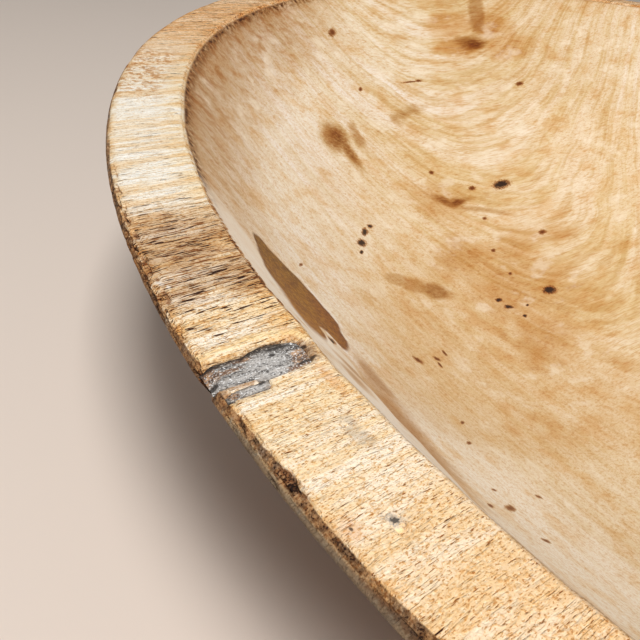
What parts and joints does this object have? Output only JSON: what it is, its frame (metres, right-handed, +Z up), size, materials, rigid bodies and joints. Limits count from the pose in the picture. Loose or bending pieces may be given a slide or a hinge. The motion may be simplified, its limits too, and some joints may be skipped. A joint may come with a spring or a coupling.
{
  "type": "dough bowl",
  "caption": "Round turned wooden dough bowl with a flat rim, a rounded hollow, a flat foot and grey filler in the checks and pits of its end-grain rim.",
  "frame": {"origin": "middle of the underside of the foot", "axes": "+Z up along the axis that the bowl was turned about; +Y along the wood's grain from the front, where the filled check is, to the back; +X to the right"},
  "size_m": [0.52, 0.52, 0.136],
  "materials": {
    "wood": "matt, worn",
    "filler": "rough, grey compound"
  },
  "bodies": {
    "root": {"bowl_body": "wood", "check_filler": "filler", "side_check_filler": "filler", "pit_fillers": "filler"}
  },
  "joints": []
}
